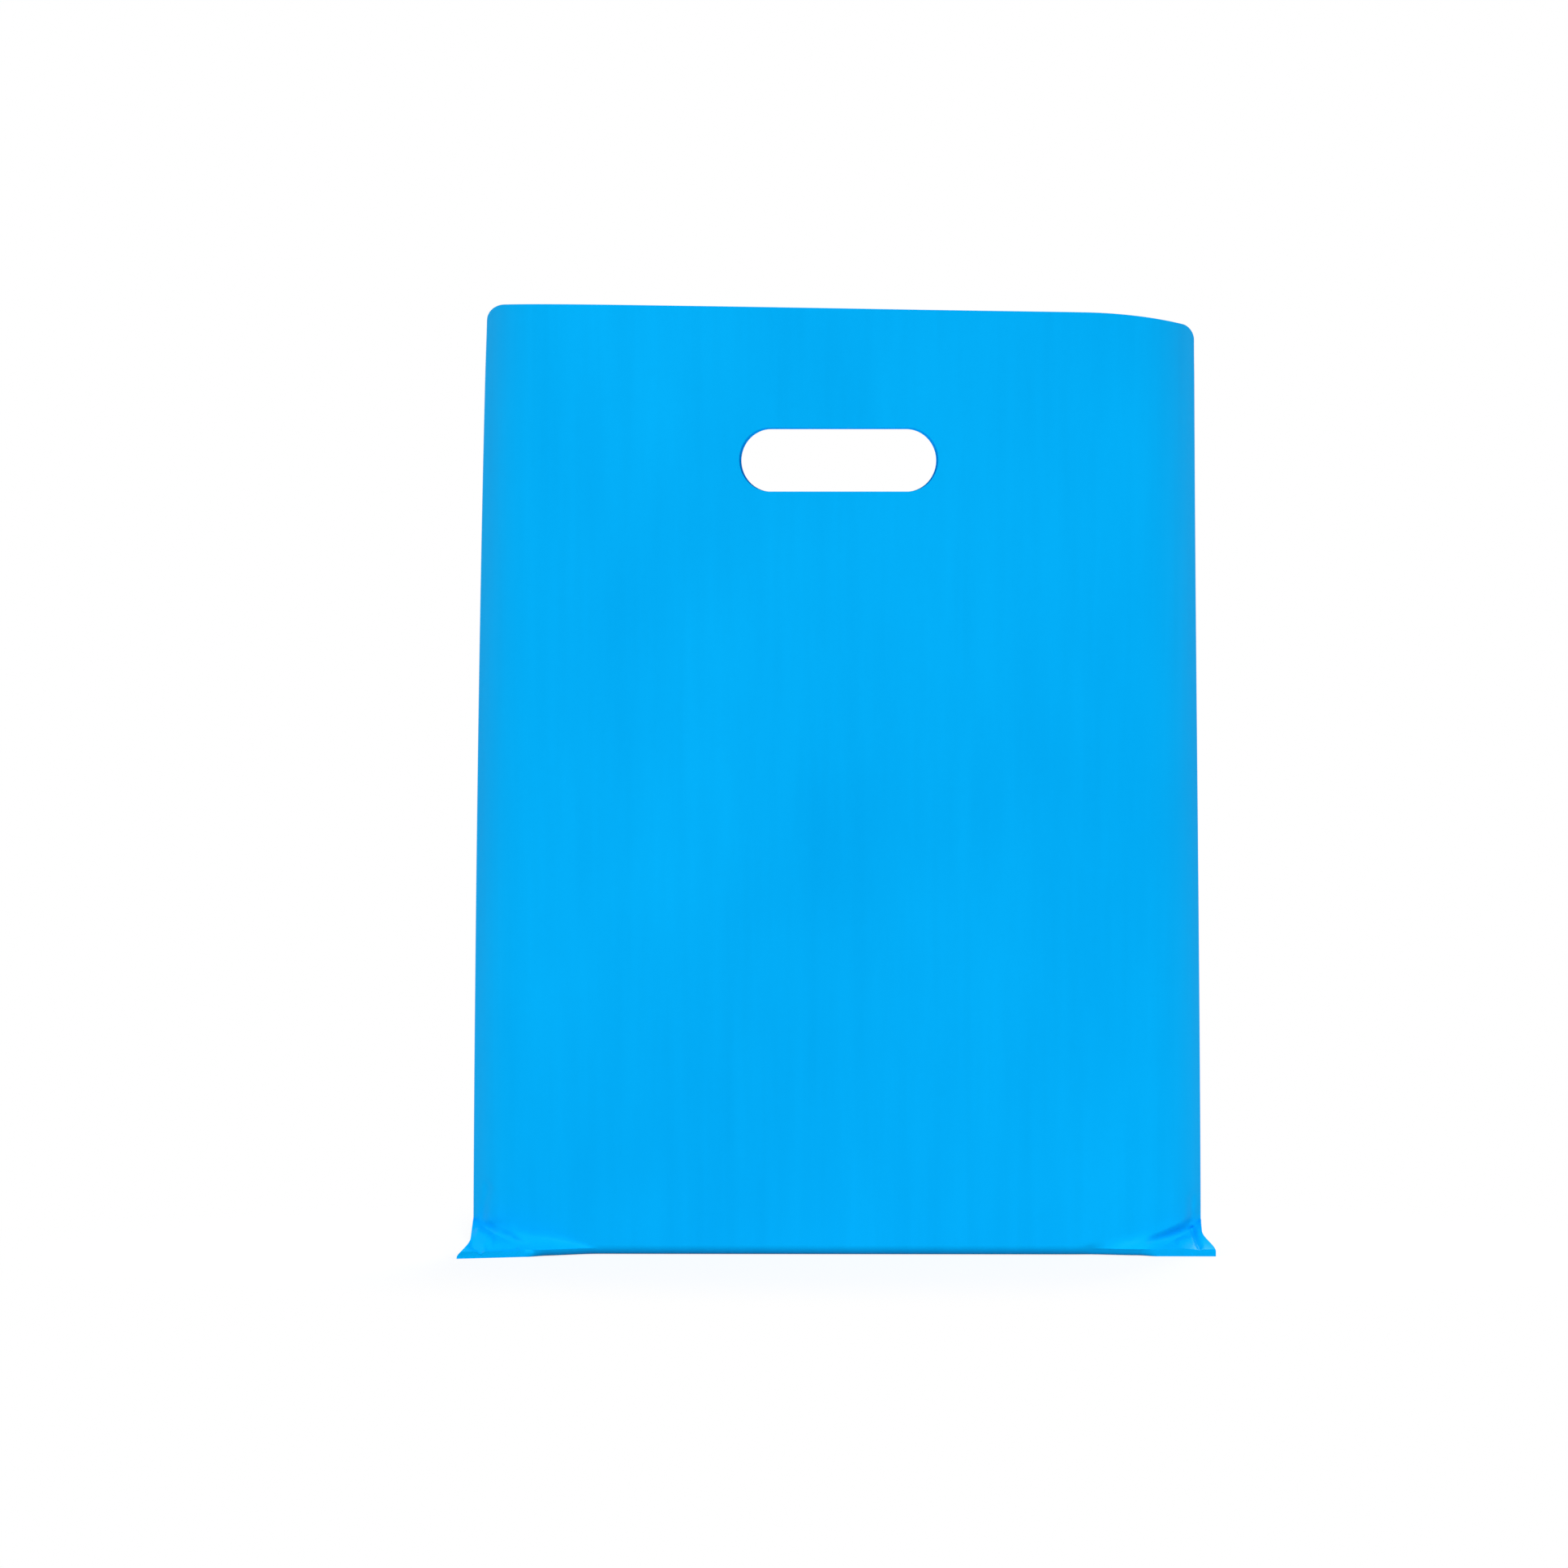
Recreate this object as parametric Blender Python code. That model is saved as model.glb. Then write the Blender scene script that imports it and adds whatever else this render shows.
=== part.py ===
"""A plastic carrier bag with a punched hand hole, standing plumped out on its flattened bottom.

It is one piece of blown film: a tube that lies flat 300 mm wide, welded across its bottom, cut
straight across its mouth and punched through both walls. Opening it moves the two walls apart,
and because film doesn't stretch, the side creases come in as the walls go out. The bottom weld
stays as wide as the flat tube, so its two ends stick out at the floor as ears.

Metres, +Z up. The origin is on the floor, under the middle of the bag. -Y is the front.
"""

import math
from collections import namedtuple

import bmesh
import bpy
from mathutils import Vector

MM = 0.001

# One corner of the flat tube, as the plumped bag leaves it behind:
# forward, how far its tip swings to the front; flare, how low it starts to spread outwards;
# facet, from the side crease to where the ear's fold meets the bottom edge;
# tuck, how far the wall above the fold is drawn in, as a share of its half depth, and its width;
# foot, how far the front wall's bottom edge is drawn forwards beside the ear.
Ear = namedtuple("Ear", "forward flare facet tuck tuck_width foot")

# The film as it is made, lying flat
FLAT_WIDTH = 300 * MM  # between the two side creases
CUT_LENGTH = 400 * MM  # from the bottom cut to the mouth
SEAL_SKIRT = 10 * MM  # film left below the bottom weld
FILM = 0.6 * MM  # wall of the solid; the real film is 0.06 mm

# The bag as it stands
BASE_DEPTH = 32.5 * MM  # front to back, above the bottom edges
BASE_POWER = 12  # how flat the walls stay there before they turn to the side creases
MOUTH_DEPTH = 55 * MM
MOUTH_POWER = 9
OPENING_CURVE = 1.25  # how the depth grows from base to mouth; 1 is evenly
EDGE_RADIUS = 3 * MM  # where the walls turn under
LEAN = 1.2 * MM  # how far the mouth leans to the right
LEAN_POWER = 4  # the higher, the nearer the mouth the lean begins
MOUTH_WAVE = 1.6 * MM  # the slack of the two walls at the mouth
WAVES = 1.5  # waves across a wall
WAVE_POWER = 3  # the higher, the nearer the mouth the waves begin

# The mouth, as it is cut and as its corners drop
MOUTH_SLANT = 4.5 * MM  # how much lower it is at the right than at the left
LEFT_CORNER = (7.5 * MM, 6 * MM)  # across and down
RIGHT_CORNER = (5 * MM, 5 * MM)
RIGHT_DROOP = (45 * MM, 4.8 * MM)  # the longer fall that leads to the right corner
RIM_BAND = 30 * MM  # film below the mouth that follows the drop

# The ears
EAR_HEIGHT = 13 * MM  # where a side crease starts to turn forwards and out
EAR_TIP = 2.8 * MM  # height of the upright strip along an ear's bottom
FOLD_CURVE = 1.4  # bow of the fold from a side crease to the bottom edge; 1 is straight
TUCK_START = 0.4  # the share of an ear, from its top, over which the tuck above its fold comes in
LEFT_EAR = Ear(forward=28 * MM, flare=2.6, facet=22 * MM, tuck=0.07, tuck_width=8 * MM, foot=8 * MM)
RIGHT_EAR = Ear(forward=18 * MM, flare=1.7, facet=18 * MM, tuck=0.22, tuck_width=14 * MM, foot=5 * MM)
FOOT_WIDTH = 30 * MM  # how far along the bottom edge a foot reaches
FOOT_CURVE = 3  # how low a foot stays; higher is lower

# The weld, a pressed line under the base from ear to ear
WELD_WIDTH = 2.4 * MM
WELD_DEPTH = 0.2 * MM
WELD_AT_EAR = 0.2  # where it runs under an ear, as a share of the base from front to back

# The hand hole, punched through both walls
HOLE_LENGTH = 78 * MM
HOLE_HEIGHT = 25 * MM
HOLE_END = 12 * MM  # how far the rounding of each end reaches along the hole
HOLE_BELOW_MOUTH = 46.5 * MM  # film between the mouth and the hole

# How finely the curves are followed
WIDE_COLUMNS = 11
CROWDING = 1.3
EAR_COLUMNS = 7
EDGE_ROWS = 3
WALL_ROWS = 11
RIM_ROWS = 6
HOLE_SEGMENTS = 36
ARC_STEPS = 200
HALVINGS = 40

COLOUR = (0.001, 0.402, 0.905, 1.0)

# The front and the back wall each give half of the base, and the skirt is folded away under it
HEIGHT = CUT_LENGTH - SEAL_SKIRT - BASE_DEPTH / 2
COLUMNS = WIDE_COLUMNS + EAR_COLUMNS


def clamp(value):
    return min(max(value, 0.0), 1.0)


def smooth(value):
    value = clamp(value)
    return value * value * (3 - 2 * value)


def half_depth(z):
    opened = (z / HEIGHT) ** OPENING_CURVE
    return (BASE_DEPTH + (MOUTH_DEPTH - BASE_DEPTH) * opened) / 2


def panel_power(z):
    return BASE_POWER + (MOUTH_POWER - BASE_POWER) * z / HEIGHT


def bulge(share, z):
    """How far out a wall stands, from 1 at its middle to 0 at a side crease."""
    return 1 - min(share, 1.0) ** panel_power(z)


def half_width(z):
    """The width at which a wall of this depth uses up the film of the flat tube."""
    shares = [k / ARC_STEPS for k in range(ARC_STEPS + 1)]
    heights = [half_depth(z) * bulge(share, z) for share in shares]
    low, high = 0.0, FLAT_WIDTH / 2
    for _ in range(HALVINGS):
        width = (low + high) / 2
        points = [(width * share, height) for share, height in zip(shares, heights)]
        length = sum(math.dist(a, b) for a, b in zip(points, points[1:]))
        if length < FLAT_WIDTH / 2:
            low = width
        else:
            high = width
    return low


MOUTH_SIDE = half_width(HEIGHT)


def edge_inset(z, floor):
    """How far a wall has turned under at this height above its own floor."""
    radius = EDGE_RADIUS - floor
    below = max(radius - (z - floor), 0.0)
    return radius - math.sqrt(radius**2 - below**2)


def ear_share(z):
    """1 along the upright tip of an ear, falling to 0 where the side crease starts to turn out."""
    return clamp((EAR_HEIGHT - z) / (EAR_HEIGHT - EAR_TIP))


def ear_columns(z):
    """How many of the columns beside a side crease belong to the ear at this height."""
    return round(EAR_COLUMNS * ear_share(z) ** (1 / FOLD_CURVE))


def half_wall(z, floor, side, ear, front):
    """Half a section's wall from its middle to a crease, as distances across and outwards."""
    inner = side - ear.facet
    across = [inner * (1 - (1 - k / WIDE_COLUMNS) ** CROWDING) for k in range(WIDE_COLUMNS)]
    across += [inner + ear.facet * k / EAR_COLUMNS for k in range(EAR_COLUMNS + 1)]
    fold = across[COLUMNS - ear_columns(z)]
    drawn_in = ear.tuck * smooth(ear_share(z) / TUCK_START)
    drawn_forward = ear_share(z) ** FOOT_CURVE if front else 0.0
    wall = []
    for x in across:
        by_foot = smooth(1 - (fold - x) / FOOT_WIDTH) * drawn_forward
        by_tuck = smooth(1 - (fold - x) / ear.tuck_width) * (1 - by_foot)
        turned = edge_inset(z, floor) * (1 - by_foot)
        outwards = max(half_depth(z) * bulge(x / side, z) - turned, 0.0)
        wall.append((x, outwards * (1 - drawn_in * by_tuck) + ear.foot * by_foot))
    return wall


def slack(x, z, side, phase):
    """The gentle wave of a wall at the mouth, which dies out towards the base and the creases."""
    inside = 1 - clamp(abs(x) / side) ** 2
    return MOUTH_WAVE * (z / HEIGHT) ** WAVE_POWER * inside * math.sin(math.pi * WAVES * x / side + phase)


def section_wall(z, floor, front):
    """The front or the back wall of a section, from the left crease or ear tip to the right one."""
    side = half_width(z)
    facing, phase = (-1, 0.0) if front else (1, math.pi / 2)
    left = half_wall(z, floor, side, LEFT_EAR, front)
    right = half_wall(z, floor, side, RIGHT_EAR, front)
    in_ear = ear_columns(z)
    fold = COLUMNS - in_ear
    points = []
    for k in range(-COLUMNS, COLUMNS + 1):
        ear, half = (LEFT_EAR, left) if k < 0 else (RIGHT_EAR, right)
        x, y = half[abs(k)]
        y *= facing
        if abs(k) > fold:
            start = Vector((half[fold][0], facing * half[fold][1]))
            reach = side + (FLAT_WIDTH / 2 - side) * smooth(ear_share(z) ** ear.flare)
            tip = Vector((reach, -ear.forward * ear_share(z)))
            x, y = start.lerp(tip, (abs(k) - fold) / in_ear)
        x = math.copysign(x, k)
        points.append(Vector((x + LEAN * (z / HEIGHT) ** LEAN_POWER, y + slack(x, z, side, phase))))
    return points


def inset_loop(loop, inset):
    """A loop moved inwards by a wall, each corner along the middle of its two sides."""
    moved = []
    for before, here, after in zip(loop[-1:] + loop[:-1], loop, loop[1:] + loop[:1]):
        arriving = (here - before).normalized()
        leaving = (after - here).normalized()
        inwards = Vector((-arriving.y - leaving.y, arriving.x + leaving.x))
        moved.append(here + inwards * inset / (1 + arriving.dot(leaving)))
    return moved


def corner_share(x, across):
    """0 up to this far from a side crease, growing to 1 at the crease."""
    return clamp((abs(x) - (MOUTH_SIDE - across)) / across)


def mouth_drop(x):
    """How far the mouth has fallen this far from its middle: its slant, and two elliptic corners."""
    across, down = LEFT_CORNER if x < 0 else RIGHT_CORNER
    corner = down * (1 - math.sqrt(1 - corner_share(x, across) ** 2))
    droop_across, droop_down = RIGHT_DROOP
    droop = droop_down * corner_share(x, droop_across) ** 2 if x > 0 else 0.0
    return MOUTH_SLANT / 2 * x / MOUTH_SIDE + corner + droop


def levels(bottom, top):
    """Heights of the rings: close together at the bottom edge, the ears and the mouth."""
    edge = [EAR_TIP * (1 - math.cos(math.pi / 2 * k / EDGE_ROWS)) for k in range(EDGE_ROWS)]
    fold = [(k / EAR_COLUMNS) ** FOLD_CURVE for k in range(EAR_COLUMNS, 0, -1)]
    ear = [EAR_HEIGHT - (EAR_HEIGHT - EAR_TIP) * share for share in fold]
    wall_top = HEIGHT - RIM_BAND
    wall = [EAR_HEIGHT + (wall_top - EAR_HEIGHT) * k / WALL_ROWS for k in range(WALL_ROWS)]
    rim = [wall_top + RIM_BAND * k / RIM_ROWS for k in range(RIM_ROWS)]
    between = [z for z in edge + ear + wall + rim if bottom < z < top]
    return [bottom] + between + [top]


def add_ring(bm, z, inset, follow_mouth):
    """One section of the form: its front and its back points, left to right."""
    front = section_wall(z, inset, front=True)
    back = section_wall(z, inset, front=False)
    loop = inset_loop(front + back[-2:0:-1], inset)
    verts = []
    for x, y in loop:
        drop = mouth_drop(x - LEAN) * smooth((z - HEIGHT + RIM_BAND) / RIM_BAND) if follow_mouth else 0.0
        verts.append(bm.verts.new((x, y, z - drop)))
    last = len(front) - 1
    return verts[: last + 1], verts[:1] + verts[:last - 1:-1]


def add_band(bm, low, high):
    """The faces between two rings, split so that their diagonals run along the folds of the ears."""
    for k in range(len(low) - 1):
        if k < COLUMNS:
            bm.faces.new((low[k], low[k + 1], high[k]))
            bm.faces.new((low[k + 1], high[k + 1], high[k]))
        else:
            bm.faces.new((low[k], low[k + 1], high[k + 1]))
            bm.faces.new((low[k], high[k + 1], high[k]))


def add_plain_end(bm, front, back):
    for k in range(len(front) - 1):
        corners = dict.fromkeys((front[k], front[k + 1], back[k + 1], back[k]))
        bm.faces.new(corners)


def add_welded_base(bm, front, back):
    """The base, in strips across it, with the weld pressed into it from ear to ear."""
    lines = []
    for k in range(1, len(front) - 1):
        from_middle = abs(k - COLUMNS)
        span = (back[k].co - front[k].co).length
        centre = 0.5 + (WELD_AT_EAR - 0.5) * smooth(from_middle / WIDE_COLUMNS)
        half = min(WELD_WIDTH / 2 / span, centre / 2)
        depth = WELD_DEPTH * clamp((COLUMNS - from_middle) / EAR_COLUMNS)
        line = [front[k]]
        for share, height in ((centre - half, 0.0), (centre, depth), (centre + half, 0.0)):
            place = front[k].co.lerp(back[k].co, share)
            line.append(bm.verts.new((place.x, place.y, place.z + height)))
        lines.append(line + [back[k]])
    for one, other in zip(lines, lines[1:]):
        for a, b, c, d in zip(one, other, other[1:], one[1:]):
            bm.faces.new((a, b, c, d))
    for tip, line in ((front[0], lines[0]), (front[-1], lines[-1])):
        for a, b in zip(line, line[1:]):
            bm.faces.new((tip, a, b))


def lofted_form(name, inset, top, follow_mouth):
    """A closed form through the sections from its floor to its top."""
    bm = bmesh.new()
    rings = [add_ring(bm, z, inset, follow_mouth) for z in levels(inset, top)]
    for lower, upper in zip(rings, rings[1:]):
        for low, high in zip(lower, upper):
            add_band(bm, low, high)
    if inset:
        add_plain_end(bm, *rings[0])
    else:
        add_welded_base(bm, *rings[0])
    add_plain_end(bm, *rings[-1])
    bmesh.ops.recalc_face_normals(bm, faces=bm.faces)
    mesh = bpy.data.meshes.new(name)
    bm.to_mesh(mesh)
    bm.free()
    return bpy.data.objects.new(name, mesh)


def hole_punch():
    """A cylinder along Y, flattened and pulled apart into a slot with rounded ends."""
    bm = bmesh.new()
    bmesh.ops.create_cone(
        bm,
        cap_ends=True,
        segments=HOLE_SEGMENTS,
        radius1=1,
        radius2=1,
        depth=2 * MOUTH_DEPTH,
    )
    straight = HOLE_LENGTH / 2 - HOLE_END
    for vert in bm.verts:
        # Half a step round, so that no point falls on the middle of the straight edges
        angle = math.atan2(vert.co.y, vert.co.x) + math.pi / HOLE_SEGMENTS
        across = math.cos(angle)
        x = HOLE_END * across + math.copysign(straight, across)
        vert.co = (x, -vert.co.z, HOLE_HEIGHT / 2 * math.sin(angle))
    bmesh.ops.recalc_face_normals(bm, faces=bm.faces)
    mesh = bpy.data.meshes.new("hand_hole")
    bm.to_mesh(mesh)
    bm.free()
    punch = bpy.data.objects.new("hand_hole", mesh)
    middle = HEIGHT - HOLE_BELOW_MOUTH - HOLE_HEIGHT / 2
    punch.location = (LEAN * (middle / HEIGHT) ** LEAN_POWER, 0, middle)
    return punch


def film_material():
    material = bpy.data.materials.new("blue_film")
    material.use_nodes = True
    shader = material.node_tree.nodes["Principled BSDF"]
    shader.inputs["Base Color"].default_value = COLOUR
    shader.inputs["Roughness"].default_value = 0.42
    shader.inputs["Metallic"].default_value = 0.0
    return material


def new_collection(name):
    collection = bpy.data.collections.new(name)
    bpy.context.scene.collection.children.link(collection)
    return collection


def main():
    for old in list(bpy.data.objects):
        bpy.data.objects.remove(old)
    parts = new_collection("plastic_carrier_bag")
    cutters = new_collection("cutters")

    bag = lofted_form("carrier_bag", 0, HEIGHT, follow_mouth=True)
    parts.objects.link(bag)
    inside = lofted_form("inside", FILM, HEIGHT + RIM_BAND, follow_mouth=False)
    for cutter in (inside, hole_punch()):
        cutters.objects.link(cutter)
        cutter.hide_render = True
        cutter.display_type = "WIRE"
        cut = bag.modifiers.new(cutter.name, "BOOLEAN")
        cut.operation = "DIFFERENCE"
        cut.solver = "EXACT"
        cut.object = cutter

    bag.data.materials.append(film_material())
    bag.data.shade_smooth()
    bag.data.set_sharp_from_angle(angle=math.radians(25))


main()
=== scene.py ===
"""The looks of a blue plastic carrier bag: its film at full fineness, the film's finish, and a studio."""

import math
from collections import namedtuple

import bmesh
import bpy
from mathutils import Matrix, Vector, noise


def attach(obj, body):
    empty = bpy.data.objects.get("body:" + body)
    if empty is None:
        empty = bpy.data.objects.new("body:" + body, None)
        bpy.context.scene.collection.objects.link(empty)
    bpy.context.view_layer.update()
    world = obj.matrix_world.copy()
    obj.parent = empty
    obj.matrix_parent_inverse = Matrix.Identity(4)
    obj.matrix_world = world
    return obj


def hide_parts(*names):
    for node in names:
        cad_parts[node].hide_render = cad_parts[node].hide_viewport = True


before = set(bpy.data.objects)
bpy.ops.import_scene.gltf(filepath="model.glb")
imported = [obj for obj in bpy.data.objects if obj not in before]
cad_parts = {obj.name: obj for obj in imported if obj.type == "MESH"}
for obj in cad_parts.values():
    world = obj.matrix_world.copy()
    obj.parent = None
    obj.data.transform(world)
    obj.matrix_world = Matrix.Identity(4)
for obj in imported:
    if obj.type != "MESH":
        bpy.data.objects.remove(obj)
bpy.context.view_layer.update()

MM = 0.001

# One corner of the flat tube: how far its tip swings forward, from which height down it spreads
# and over how much height, the width of its facet, how its fold drops (less than 1 is first steep
# and then flat), the tuck beside the fold, and the foot that the front's bottom edge has beside it
Ear = namedtuple("Ear", "forward spread_from spread_over facet fold tuck tuck_width foot")

# The film, whose two walls and base are one tube
FLAT_WIDTH = 300 * MM  # between the two side creases
CUT_LENGTH = 400 * MM  # from the bottom cut to the mouth
SEAL_SKIRT = 10 * MM  # film below the bottom weld
FILM = 0.25 * MM  # the real film is 0.06 mm

# The standing bag
BASE_DEPTH = 32.5 * MM  # front to back, above the bottom edges
BASE_POWER = 12  # how flat the walls stay there before they turn to the side creases
MOUTH_DEPTH = 55 * MM
MOUTH_POWER = 9
OPENING_CURVE = 1.25  # how the depth grows from base to mouth; 1 is evenly
EDGE_RADIUS = 4 * MM  # where the walls turn under
LEAN = 1.2 * MM  # how far the mouth leans to the right
LEAN_POWER = 4  # the higher, the nearer the mouth the lean begins
MOUTH_WAVE = 1.6 * MM  # the slack of the two walls at the mouth
WAVES = 1.5  # waves across a wall
WAVE_POWER = 3  # the higher, the nearer the mouth the waves begin

# The mouth
MOUTH_SLANT = 4.5 * MM  # how much lower it is at the right than at the left
LEFT_CORNER = (7.5 * MM, 6 * MM)  # across and down
RIGHT_CORNER = (5 * MM, 5 * MM)
RIGHT_DROOP = (45 * MM, 4.3 * MM)  # the longer fall that leads to the right corner
RIM_BAND = 30 * MM  # film below the mouth that follows the drop

# The ears
EAR_HEIGHT = 13 * MM  # where a side crease starts to turn forwards and out
EAR_TIP = 2.8 * MM  # height of the upright strip along an ear's bottom
LEFT_EAR = Ear(28 * MM, 6.8 * MM, 6.5 * MM, 22 * MM, 0.7, tuck=0.1, tuck_width=4 * MM, foot=8 * MM)
RIGHT_EAR = Ear(18 * MM, 8.8 * MM, 6.8 * MM, 18 * MM, 0.6, tuck=0.34, tuck_width=6 * MM, foot=5 * MM)
FOOT_WIDTH = 30 * MM  # how far along the bottom edge a foot reaches
FOOT_CURVE = 3  # how low a foot stays; higher is lower
EDGE_EASE = 8 * MM  # how far from a fold the turned bottom edge straightens into the strip

# The hand hole
HOLE_LENGTH = 78 * MM
HOLE_HEIGHT = 25 * MM
HOLE_END = 12 * MM  # how far the rounding of each end reaches along the hole
HOLE_BELOW_MOUTH = 46.5 * MM  # film between the mouth and the hole

# Small creases that the swing of the ears leaves in the front: from and to, as x and z, how deep,
# less than nothing where it is a ridge, and how far to each side
Crease = namedtuple("Crease", "start end depth reach")
CREASES = (
    Crease((-144.5 * MM, 5 * MM), (-140.5 * MM, 3 * MM), 1.2 * MM, 1.0 * MM),
    Crease((-142.5 * MM, 8 * MM), (-137 * MM, 5.4 * MM), -1.2 * MM, 1.4 * MM),
    Crease((-138 * MM, 3.8 * MM), (-127 * MM, 3.6 * MM), 1.0 * MM, 0.9 * MM),
    Crease((-128 * MM, 5.6 * MM), (-121 * MM, 3 * MM), 0.9 * MM, 1.1 * MM),
    Crease((-141 * MM, 14 * MM), (-139 * MM, 26 * MM), 0.6 * MM, 1.6 * MM),
    Crease((141.5 * MM, 9 * MM), (143.5 * MM, 4 * MM), 1.4 * MM, 1 * MM),
    Crease((136 * MM, 4.4 * MM), (141 * MM, 5.6 * MM), -0.8 * MM, 1.2 * MM),
    Crease((100 * MM, 2 * MM), (121 * MM, 2.2 * MM), 0.9 * MM, 1.8 * MM),
    Crease((141 * MM, 12 * MM), (141.5 * MM, 21 * MM), 0.7 * MM, 1.6 * MM),
)

# The film around the ears is finely crumpled: the size and depth of its folds, and how far it goes
CRUMPLE_SIZE = 4.5 * MM
CRUMPLE_DEPTH = 0.5 * MM
CRUMPLE_REACH = 12 * MM
CREASE_CALM = 4 * MM  # beside a side crease the film is pulled straight

# A shallow dent of the front, high on its left: its middle as x and z, its reach and its depth
DENT_PLACE = (-118 * MM, 315 * MM)
DENT_REACH = (12 * MM, 45 * MM)
DENT_DEPTH = 0.9 * MM

# The film's own unevenness: swells and stretch lines, each with its size across and up and its
# depth, and how far from the side creases and the base it takes to come in
SWELL_SIZE = (55 * MM, 110 * MM)
SWELL_DEPTH = 0.35 * MM
LINE_SIZE = (13 * MM, 90 * MM)
LINE_DEPTH = 0.05 * MM
LINE_SEED = 7  # keeps the lines from following the swells
UNEVEN_BESIDE = 12 * MM
UNEVEN_ABOVE = 25 * MM

# How finely the film is followed
WIDE_COLUMNS = 40
CROWDING = 1.5  # how much the columns crowd towards the ears; 1 is evenly
EAR_COLUMNS = 32
EDGE_ROWS = 8
WALL_ROWS = 80
WALL_CROWDING = 1.4  # how much the rows crowd towards the ears
RIM_ROWS = 18
HOLE_SEGMENTS = 128
ARC_STEPS = 200
HALVINGS = 40
SHARP_FROM = math.radians(28)  # an edge that turns more than this isn't shaded smooth

# The film's finish: the two ends of its blue, how much of the change between them is streaks,
# its gloss, and the fine waves in its surface
DEEP_BLUE = (0.0002, 0.37, 0.83, 1)
BRIGHT_BLUE = (0.0008, 0.42, 0.905, 1)
BLUE_RANGE = (0.3, 0.7)
STREAK_SHARE = 0.35
ROUGHNESS = (0.36, 0.46)
GLOSS_LEVEL = 0.1
GLOSS_TINT = (0.05, 0.55, 1, 1)
WAVE_STRENGTH = 0.25
WAVE_HEIGHT = 0.2 * MM

# A noise in the film: its scale, its detail, and its rate up the film where across it is 1
Grain = namedtuple("Grain", "scale detail upwards")
STREAKS = Grain(160, 3, 0.05)
CLOUDS = Grain(14, 2, 0.6)
FINE_WAVES = Grain(90, 2, 0.35)

# The floor: how it looks, how much light it gives back, and how its shadow fades into white
WHITE = (1, 1, 1, 1)
FLOOR_SIZE = 30
FLOOR_ROUGHNESS = 0.9
FLOOR_TONE = 0.9
FLOOR_BOUNCE = 0.5
SHADOW_SHARE = 0.25
SHADOW_NEAR = 0.17
SHADOW_FAR = 0.36
SHADOW_STRETCH = 2.2

# The lights: where they stand, what a lamp aims at, how wide they are, and how strong
SKY_LIGHT = 0.42
Sun = namedtuple("Sun", "name place angle strength")
SUNS = (
    Sun("key", (0.25, -3.4, 3.6), math.radians(14), 1.85),
    Sun("left", (-3.6, -0.7, 2.2), math.radians(25), 0.4),
    Sun("right", (3.6, -0.7, 2.2), math.radians(25), 0.4),
)
Lamp = namedtuple("Lamp", "name place target size power")
LAMPS = (
    Lamp("fill", (-0.6, -2.8, 0.25), (0, 0, 0.1), (1.6, 0.4), 12),
    Lamp("back", (0.6, 2.0, 1.6), (0, 0, 0.2), (1.2, 1.2), 28),
)

CAMERA_PLACE = (0.0006, -2.22, 0.30)
CAMERA_TARGET = (-0.0209, -0.02, 0.1872)
CAMERA_LENS = 128.4  # in millimetres, as the sensor's width is
SENSOR_WIDTH = 36

HEIGHT = CUT_LENGTH - SEAL_SKIRT - BASE_DEPTH / 2
COLUMNS = WIDE_COLUMNS + EAR_COLUMNS


def clamp(value):
    return min(max(value, 0.0), 1.0)


def smooth(value):
    value = clamp(value)
    return value * value * (3 - 2 * value)


def half_depth(z):
    return (BASE_DEPTH + (MOUTH_DEPTH - BASE_DEPTH) * (z / HEIGHT) ** OPENING_CURVE) / 2


def bulge(share, z):
    """How far out a wall is between its middle, at 0, and its side crease, at 1."""
    return 1 - min(share, 1.0) ** (BASE_POWER + (MOUTH_POWER - BASE_POWER) * z / HEIGHT)


def half_width(z):
    """The width at which a wall of this depth uses up the film of the flat tube."""
    shares = [k / ARC_STEPS for k in range(ARC_STEPS + 1)]
    heights = [half_depth(z) * bulge(share, z) for share in shares]
    low, high = 0.0, FLAT_WIDTH / 2
    for _ in range(HALVINGS):
        width = (low + high) / 2
        points = [(width * share, height) for share, height in zip(shares, heights)]
        if sum(math.dist(a, b) for a, b in zip(points, points[1:])) < FLAT_WIDTH / 2:
            low = width
        else:
            high = width
    return low


MOUTH_SIDE = half_width(HEIGHT)


def ear_share(z):
    """0 where an ear begins, 1 along its bottom strip."""
    return clamp((EAR_HEIGHT - z) / (EAR_HEIGHT - EAR_TIP))


def ear_columns(z):
    return round(EAR_COLUMNS * ear_share(z))


def edge_inset(z):
    """How far the rounding of the bottom edge draws a wall in."""
    below = max(EDGE_RADIUS - z, 0.0)
    return EDGE_RADIUS - math.sqrt(EDGE_RADIUS**2 - below**2)


def distance_to(place, start, end):
    """From a place on a wall to the nearest point of a straight crease."""
    along = end - start
    share = clamp((place - start).dot(along) / along.length_squared)
    return (place - start - along * share).length


def fold_route(ear):
    """An ear's fold, from the side crease to the bottom edge, as points across and up."""
    side = half_width(EAR_HEIGHT)
    shares = [k / EAR_COLUMNS for k in range(EAR_COLUMNS + 1)]
    drops = [(EAR_HEIGHT - EAR_TIP) * share**ear.fold for share in shares]
    return [Vector((side - ear.facet * share, EAR_HEIGHT - drop)) for share, drop in zip(shares, drops)]


FOLDS = {ear: fold_route(ear) for ear in (LEFT_EAR, RIGHT_EAR)}


def near_fold(x, z, ear, reach):
    """1 on an ear's fold, falling to 0 this far from it."""
    if z > EAR_HEIGHT + reach:
        return 0.0
    route = FOLDS[ear]
    return smooth(1 - min(distance_to(Vector((x, z)), a, b) for a, b in zip(route, route[1:])) / reach)


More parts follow.
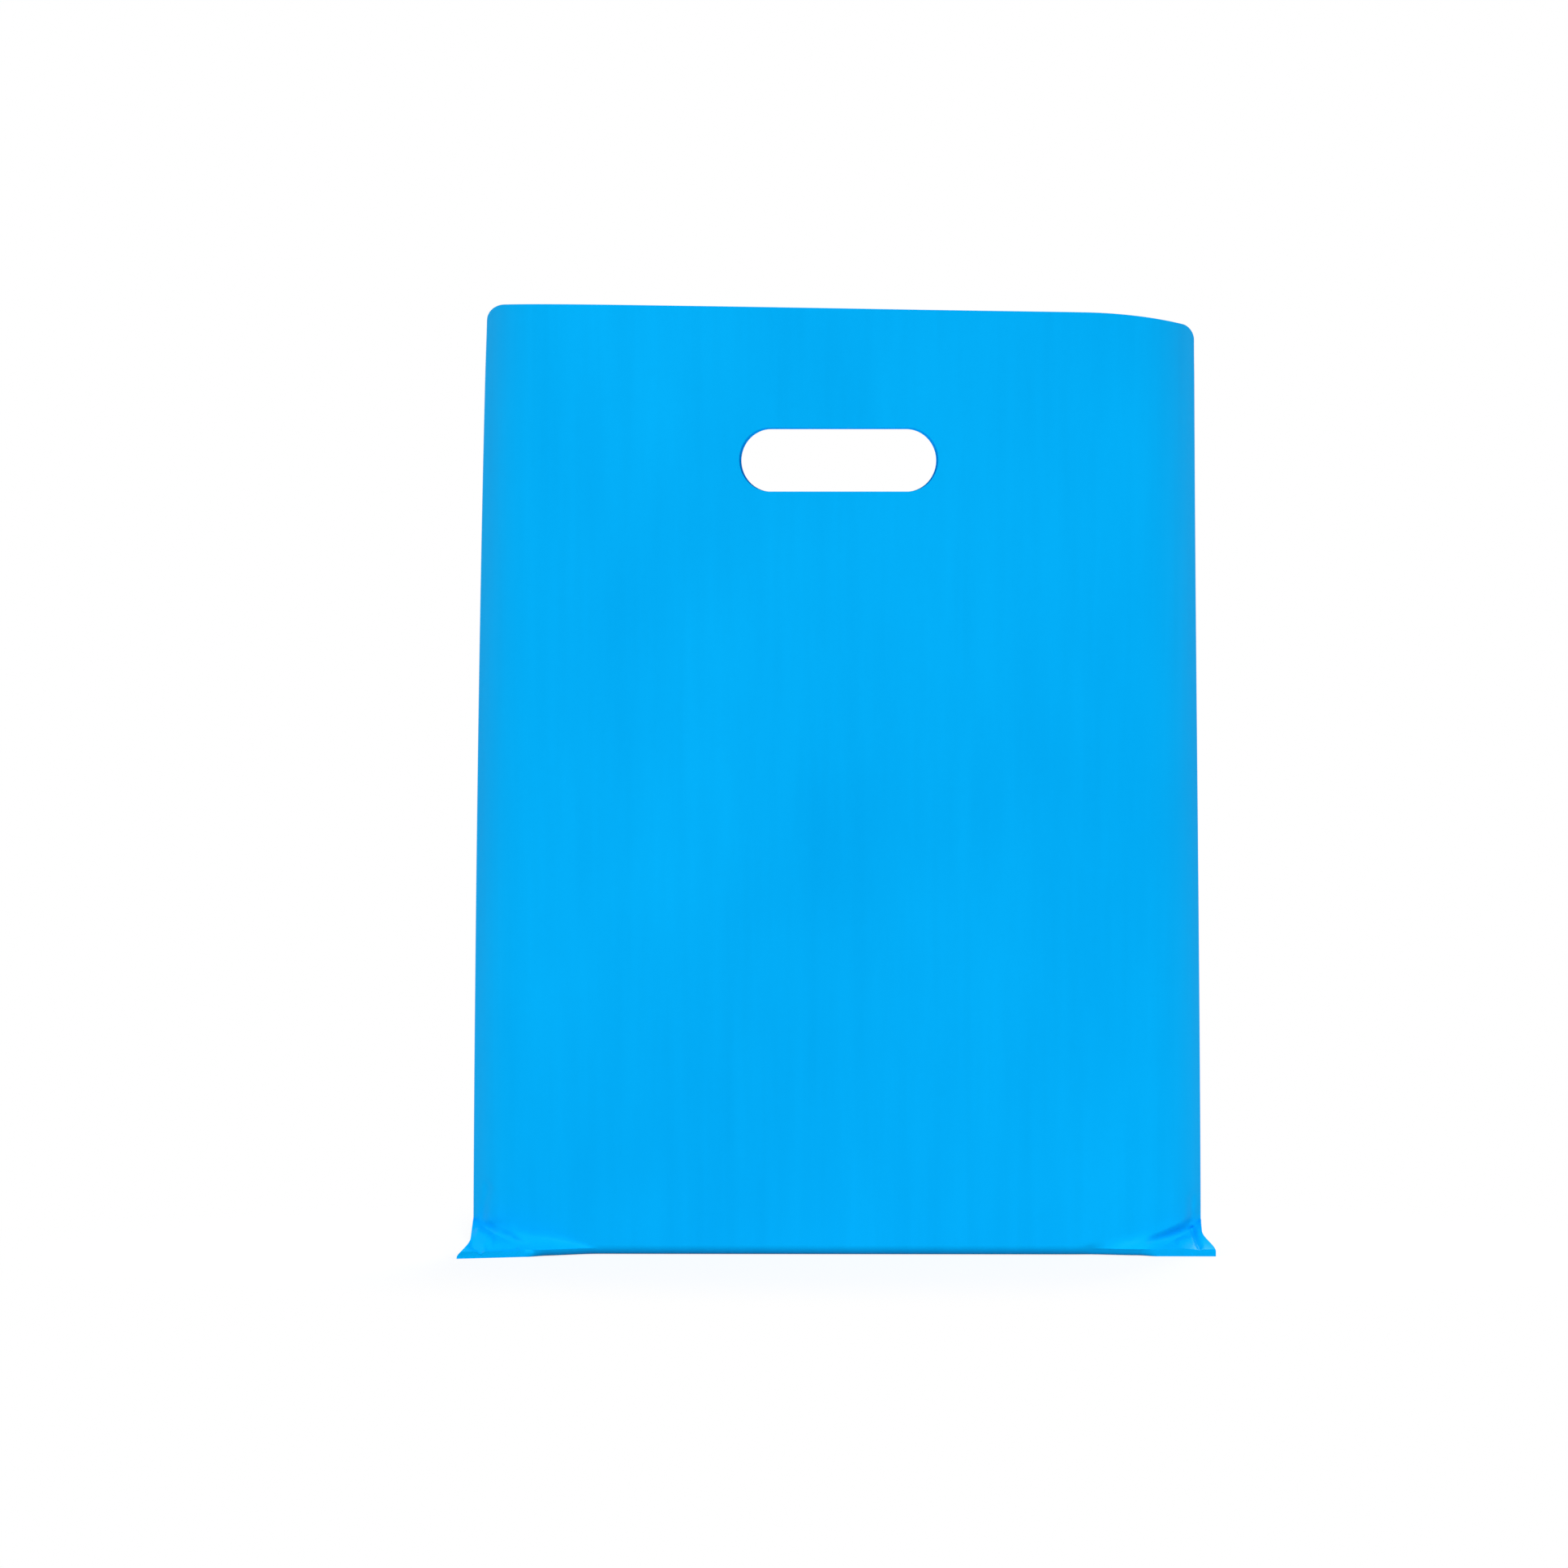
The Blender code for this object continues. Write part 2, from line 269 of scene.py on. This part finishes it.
def crumple(x, z, side, ear, facing):
    """The fine crumpling of the film around an ear."""
    weight = near_fold(abs(x), z, ear, CRUMPLE_REACH) * smooth((side - abs(x)) / CREASE_CALM)
    return weight * CRUMPLE_DEPTH * noise.noise(Vector((x / CRUMPLE_SIZE, facing, z / CRUMPLE_SIZE)))


def half_wall(z, side, ear, front):
    """A wall from its middle to its side crease, as distances across and outwards."""
    inner = side - ear.facet
    across = [inner * (1 - (1 - k / WIDE_COLUMNS) ** CROWDING) for k in range(WIDE_COLUMNS)]
    across += [side - ear.facet * (1 - k / EAR_COLUMNS) ** (1 / ear.fold) for k in range(EAR_COLUMNS + 1)]
    fold = across[COLUMNS - ear_columns(z)]
    drawn_forward = ear_share(z) ** FOOT_CURVE if front else 0.0
    wall = []
    for x in across:
        by_foot = smooth(1 - (fold - x) / FOOT_WIDTH) * drawn_forward
        drawn_in = ear.tuck * near_fold(x, z, ear, ear.tuck_width) * (1 - by_foot**2)
        turned = edge_inset(z) * (1 - smooth(1 - (fold - x) / EDGE_EASE) * drawn_forward)
        outwards = max(half_depth(z) * bulge(x / side, z) - turned, 0.0)
        wall.append((x, outwards * (1 - drawn_in) + ear.foot * by_foot))
    return wall


def slack(x, z, side, phase):
    """How far a wall waves to the back at and near the mouth."""
    inside = 1 - clamp(abs(x) / side) ** 2
    return MOUTH_WAVE * (z / HEIGHT) ** WAVE_POWER * inside * math.sin(math.pi * WAVES * x / side + phase)


def limp(x, z, side, seed):
    """The film's own unevenness: broad shallow swells and fine stretch lines that run up the wall."""
    inside = smooth((side - abs(x)) / UNEVEN_BESIDE) * smooth(z / UNEVEN_ABOVE)
    swell = noise.noise(Vector((x / SWELL_SIZE[0], seed, z / SWELL_SIZE[1])))
    line = noise.noise(Vector((x / LINE_SIZE[0], seed + LINE_SEED, z / LINE_SIZE[1])))
    return inside * (SWELL_DEPTH * swell + LINE_DEPTH * line)


def creased(x, z):
    """How far the small creases and the dent draw the front wall in."""
    place = Vector((x, z))
    depth = 0.0
    for crease in CREASES:
        away = distance_to(place, Vector(crease.start), Vector(crease.end)) / crease.reach
        depth += crease.depth * math.exp(-(away**2))
    across, up = ((value - middle) / reach for value, middle, reach in zip((x, z), DENT_PLACE, DENT_REACH))
    return depth + DENT_DEPTH * math.exp(-(across**2) - up**2)


def ear_end(z, side, ear, k):
    """Where an ear's outer edge is at this height, as x and y; k tells left from right."""
    spread = smooth((ear.spread_from - z) / ear.spread_over)
    reach = side + (FLAT_WIDTH / 2 - side) * spread
    return Vector((math.copysign(reach, k), -ear.forward * ear_share(z)))


def section_wall(z, front):
    """A wall at one height, from left to right: the wall between the folds, and each ear's facet."""
    side = half_width(z)
    facing, phase = (-1, 0.0) if front else (1, math.pi / 2)
    halves = {ear: half_wall(z, side, ear, front) for ear in (LEFT_EAR, RIGHT_EAR)}
    in_ear = ear_columns(z)
    fold = COLUMNS - in_ear
    above_strip = clamp(z / EAR_TIP)
    points = []
    for k in range(-COLUMNS, COLUMNS + 1):
        ear = LEFT_EAR if k < 0 else RIGHT_EAR
        x, outwards = halves[ear][min(abs(k), fold)]
        x = math.copysign(x, k)
        y = facing * outwards + slack(x, z, side, phase) + limp(x, z, side, facing)
        y += crumple(x, z, side, ear, facing)
        lift = 0.0
        if abs(k) > fold:
            share = (abs(k) - fold) / in_ear
            x, y = Vector((x, y)).lerp(ear_end(z, side, ear, k), share)
            lift = crumple(x, z, side, ear, facing) * math.sin(math.pi * share) * above_strip
            if front and abs(k) < COLUMNS:
                lift -= creased(x, z) * above_strip
        elif front:
            y += creased(x, z) * smooth((side - abs(x)) / CREASE_CALM)
        points.append(Vector((x + LEAN * (z / HEIGHT) ** LEAN_POWER, y, z + lift)))
    return points


def corner_share(x, across):
    """0 where a corner of the mouth begins, this far from its side, and 1 at the side."""
    return clamp((abs(x) - (MOUTH_SIDE - across)) / across)


def mouth_drop(x):
    """How far the mouth has fallen this far from its middle: its slant, two corners and a droop."""
    across, down = LEFT_CORNER if x < 0 else RIGHT_CORNER
    corner = down * (1 - math.sqrt(1 - corner_share(x, across) ** 2))
    droop_across, droop_down = RIGHT_DROOP
    droop = droop_down * corner_share(x, droop_across) ** 2 if x > 0 else 0.0
    return MOUTH_SLANT / 2 * x / MOUTH_SIDE + corner + droop


def levels():
    """The heights of the film's rings, from the floor to the mouth."""
    edge = [EAR_TIP * (1 - math.cos(math.pi / 2 * k / EDGE_ROWS)) for k in range(EDGE_ROWS)]
    ear = [EAR_HEIGHT - (EAR_HEIGHT - EAR_TIP) * k / EAR_COLUMNS for k in range(EAR_COLUMNS, 0, -1)]
    wall_top = HEIGHT - RIM_BAND
    shares = [(k / WALL_ROWS) ** WALL_CROWDING for k in range(WALL_ROWS)]
    wall = [EAR_HEIGHT + (wall_top - EAR_HEIGHT) * share for share in shares]
    rim = [wall_top + RIM_BAND * k / RIM_ROWS for k in range(RIM_ROWS + 1)]
    return edge + ear + wall + rim


def add_ring(bm, z):
    """The points of both walls at one height; they share the two at the side creases."""
    follow = smooth((z - HEIGHT + RIM_BAND) / RIM_BAND)

    def add_points(points):
        return [bm.verts.new((x, y, height - mouth_drop(x - LEAN) * follow)) for x, y, height in points]

    front = add_points(section_wall(z, True))
    back = add_points(section_wall(z, False)[1:-1])
    return front, [front[0], *back, front[-1]]


def add_object(name, bm):
    """An object made of this mesh, which is used up."""
    bmesh.ops.recalc_face_normals(bm, faces=bm.faces)
    mesh = bpy.data.meshes.new(name)
    bm.to_mesh(mesh)
    bm.free()
    obj = bpy.data.objects.new(name, mesh)
    bpy.context.scene.collection.objects.link(obj)
    return obj


def film_shell():
    """The film's outside: both walls and the base, with the diagonals leaning along the folds."""
    bm = bmesh.new()
    rings = [add_ring(bm, z) for z in levels()]
    for lower, upper in zip(rings, rings[1:]):
        for low, high in zip(lower, upper):
            for k in range(len(low) - 1):
                if k < COLUMNS:
                    bm.faces.new((low[k], low[k + 1], high[k]))
                    bm.faces.new((low[k + 1], high[k + 1], high[k]))
                else:
                    bm.faces.new((low[k], low[k + 1], high[k + 1]))
                    bm.faces.new((low[k], high[k + 1], high[k]))
    front, back = rings[0]
    for k in range(len(front) - 1):
        bm.faces.new(dict.fromkeys((front[k], front[k + 1], back[k + 1], back[k])))
    return add_object("bag_film", bm)


def hole_punch():
    """A bar with rounded ends, as wide and high as the hand hole, through both walls."""
    bm = bmesh.new()
    through = 2 * MOUTH_DEPTH
    bmesh.ops.create_cone(bm, cap_ends=True, segments=HOLE_SEGMENTS, radius1=1, radius2=1, depth=through)
    straight = HOLE_LENGTH / 2 - HOLE_END
    for vert in bm.verts:
        angle = math.atan2(vert.co.y, vert.co.x) + math.pi / HOLE_SEGMENTS
        across = math.cos(angle)
        x = HOLE_END * across + math.copysign(straight, across)
        vert.co = (x, -vert.co.z, HOLE_HEIGHT / 2 * math.sin(angle))
    punch = add_object("hole_punch", bm)
    middle = HEIGHT - HOLE_BELOW_MOUTH - HOLE_HEIGHT / 2
    punch.location = (LEAN * (middle / HEIGHT) ** LEAN_POWER, 0, middle)
    return punch


def apply_modifiers(obj):
    bpy.context.view_layer.update()
    graph = bpy.context.evaluated_depsgraph_get()
    made = bpy.data.meshes.new_from_object(obj.evaluated_get(graph))
    obj.modifiers.clear()
    obj.data = made


def make_film():
    """The film, thickened inwards from its outside, with the hand hole punched out."""
    film = film_shell()
    wall = film.modifiers.new("wall", "SOLIDIFY")
    wall.thickness = FILM
    wall.offset = -1
    punch = hole_punch()
    cut = film.modifiers.new("hand_hole", "BOOLEAN")
    cut.operation = "DIFFERENCE"
    cut.solver = "EXACT"
    cut.object = punch
    apply_modifiers(film)
    bpy.data.objects.remove(punch)
    film.data.shade_smooth()
    film.data.set_sharp_from_angle(angle=SHARP_FROM)
    return film


def film_material():
    """Glossy blown film: even blue, faintly streaked along the draw, with fine waves in its surface."""
    material = bpy.data.materials.new("blue_film_look")
    material.use_nodes = True
    nodes, links = material.node_tree.nodes, material.node_tree.links
    shader = nodes["Principled BSDF"]
    place = nodes.new("ShaderNodeTexCoord")

    def noise_texture(grain):
        mapping = nodes.new("ShaderNodeMapping")
        mapping.inputs["Scale"].default_value = (1, 1, grain.upwards)
        links.new(place.outputs["Object"], mapping.inputs["Vector"])
        texture = nodes.new("ShaderNodeTexNoise")
        texture.inputs["Scale"].default_value = grain.scale
        texture.inputs["Detail"].default_value = grain.detail
        links.new(mapping.outputs["Vector"], texture.inputs["Vector"])
        return texture.outputs["Fac"]

    streaks = noise_texture(STREAKS)

    even = nodes.new("ShaderNodeMix")
    even.data_type = "FLOAT"
    even.inputs["Factor"].default_value = STREAK_SHARE
    links.new(noise_texture(CLOUDS), even.inputs["A"])
    links.new(streaks, even.inputs["B"])

    tone = nodes.new("ShaderNodeValToRGB")
    for end, position, colour in zip(tone.color_ramp.elements, BLUE_RANGE, (DEEP_BLUE, BRIGHT_BLUE)):
        end.position = position
        end.color = colour
    links.new(even.outputs["Result"], tone.inputs["Fac"])
    links.new(tone.outputs["Color"], shader.inputs["Base Color"])

    rough = nodes.new("ShaderNodeMapRange")
    rough.inputs["To Min"].default_value, rough.inputs["To Max"].default_value = ROUGHNESS
    links.new(streaks, rough.inputs["Value"])
    links.new(rough.outputs["Result"], shader.inputs["Roughness"])

    bump = nodes.new("ShaderNodeBump")
    bump.inputs["Strength"].default_value = WAVE_STRENGTH
    bump.inputs["Distance"].default_value = WAVE_HEIGHT
    links.new(noise_texture(FINE_WAVES), bump.inputs["Height"])
    links.new(bump.outputs["Normal"], shader.inputs["Normal"])
    shader.inputs["Specular IOR Level"].default_value = GLOSS_LEVEL
    shader.inputs["Specular Tint"].default_value = GLOSS_TINT
    return material


def floor_material():
    """Pale floor: plain white away from the bag, and keeping the bag's soft shadow close to it."""
    material = bpy.data.materials.new("pale_floor")
    material.use_nodes = True
    nodes, links = material.node_tree.nodes, material.node_tree.links
    shader = nodes["Principled BSDF"]
    shader.inputs["Roughness"].default_value = FLOOR_ROUGHNESS
    shader.inputs["Specular IOR Level"].default_value = 0.0
    path = nodes.new("ShaderNodeLightPath")

    tone = nodes.new("ShaderNodeMix")
    tone.data_type = "RGBA"
    tone.inputs["A"].default_value = (*[FLOOR_BOUNCE] * 3, 1)
    tone.inputs["B"].default_value = (*[FLOOR_TONE] * 3, 1)
    links.new(path.outputs["Is Camera Ray"], tone.inputs["Factor"])
    links.new(tone.outputs["Result"], shader.inputs["Base Color"])

    place = nodes.new("ShaderNodeTexCoord")
    flat = nodes.new("ShaderNodeMapping")
    flat.inputs["Scale"].default_value = (1, SHADOW_STRETCH, 0)
    links.new(place.outputs["Object"], flat.inputs["Vector"])
    away = nodes.new("ShaderNodeVectorMath")
    away.operation = "LENGTH"
    links.new(flat.outputs["Vector"], away.inputs[0])
    clean = nodes.new("ShaderNodeMapRange")
    clean.interpolation_type = "SMOOTHSTEP"
    clean.inputs["From Min"].default_value = SHADOW_NEAR
    clean.inputs["From Max"].default_value = SHADOW_FAR
    clean.inputs["To Min"].default_value = 1 - SHADOW_SHARE
    links.new(away.outputs["Value"], clean.inputs["Value"])
    seen = nodes.new("ShaderNodeMath")
    seen.operation = "MULTIPLY"
    links.new(clean.outputs["Result"], seen.inputs[0])
    links.new(path.outputs["Is Camera Ray"], seen.inputs[1])

    white = nodes.new("ShaderNodeEmission")
    white.inputs["Color"].default_value = WHITE
    mix = nodes.new("ShaderNodeMixShader")
    links.new(seen.outputs[0], mix.inputs["Fac"])
    links.new(shader.outputs["BSDF"], mix.inputs[1])
    links.new(white.outputs["Emission"], mix.inputs[2])
    links.new(mix.outputs["Shader"], nodes["Material Output"].inputs["Surface"])
    return material


def add_floor():
    bpy.ops.mesh.primitive_plane_add(size=FLOOR_SIZE, location=(0, 0, 0))
    floor = bpy.context.object
    floor.name = "floor"
    floor.data.materials.append(floor_material())


def set_world():
    """A sky that lights the bag evenly and that the camera sees as plain white."""
    world = bpy.data.worlds.new("studio")
    bpy.context.scene.world = world
    world.use_nodes = True
    nodes, links = world.node_tree.nodes, world.node_tree.links
    light = nodes["Background"]
    light.inputs["Color"].default_value = WHITE
    light.inputs["Strength"].default_value = SKY_LIGHT
    white = nodes.new("ShaderNodeBackground")
    white.inputs["Color"].default_value = WHITE
    path = nodes.new("ShaderNodeLightPath")
    mix = nodes.new("ShaderNodeMixShader")
    links.new(path.outputs["Is Camera Ray"], mix.inputs["Fac"])
    links.new(light.outputs["Background"], mix.inputs[1])
    links.new(white.outputs["Background"], mix.inputs[2])
    links.new(mix.outputs["Shader"], nodes["World Output"].inputs["Surface"])


def stand(name, data, place, target):
    """A light or the camera at this place, aimed at its target."""
    obj = bpy.data.objects.new(name, data)
    obj.location = place
    obj.rotation_euler = (Vector(target) - Vector(place)).to_track_quat("-Z", "Y").to_euler()
    bpy.context.scene.collection.objects.link(obj)
    return obj


def add_lights():
    for sun in SUNS:
        light = bpy.data.lights.new(sun.name, "SUN")
        light.angle = sun.angle
        light.energy = sun.strength
        stand(sun.name, light, sun.place, (0, 0, 0))
    for lamp in LAMPS:
        light = bpy.data.lights.new(lamp.name, "AREA")
        light.shape = "RECTANGLE"
        light.size, light.size_y = lamp.size
        light.energy = lamp.power
        stand(lamp.name, light, lamp.place, lamp.target)


def add_camera():
    camera = bpy.data.cameras.new("camera")
    camera.lens = CAMERA_LENS
    camera.sensor_width = SENSOR_WIDTH
    bpy.context.scene.camera = stand("camera", camera, CAMERA_PLACE, CAMERA_TARGET)


film = make_film()
film.data.materials.clear()
film.data.materials.append(film_material())
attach(film, "root")
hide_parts("carrier_bag")

add_floor()
set_world()
add_lights()
add_camera()

bpy.context.scene.view_settings.view_transform = "Standard"
